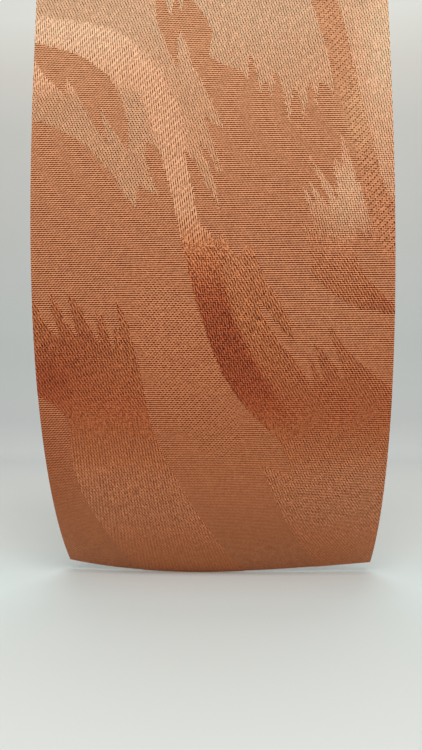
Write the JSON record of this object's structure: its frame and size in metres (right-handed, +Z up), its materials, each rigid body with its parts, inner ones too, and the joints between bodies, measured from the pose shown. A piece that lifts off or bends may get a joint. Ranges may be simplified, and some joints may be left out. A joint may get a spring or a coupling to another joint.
{
  "type": "vertical blind vane",
  "caption": "Short stiffened jacquard cloth vane for a vertical blind, hung by its plain top edge, its lower end curled back by the set of the roll.",
  "frame": {"origin": "middle of the top cut edge, half way through the cloth", "axes": "+Z up along the hanging vane, +X to the right across its width as one faces it, +Y away from its front, the way that the lower end curls"},
  "size_m": [0.089, 0.0368, 0.1915],
  "materials": {
    "woven_cloth": "stiffened jacquard weave in copper brown, a lustrous figure of long warp floats on a ribbed ground"
  },
  "bodies": {
    "root": {"vane": "woven_cloth"}
  },
  "joints": []
}
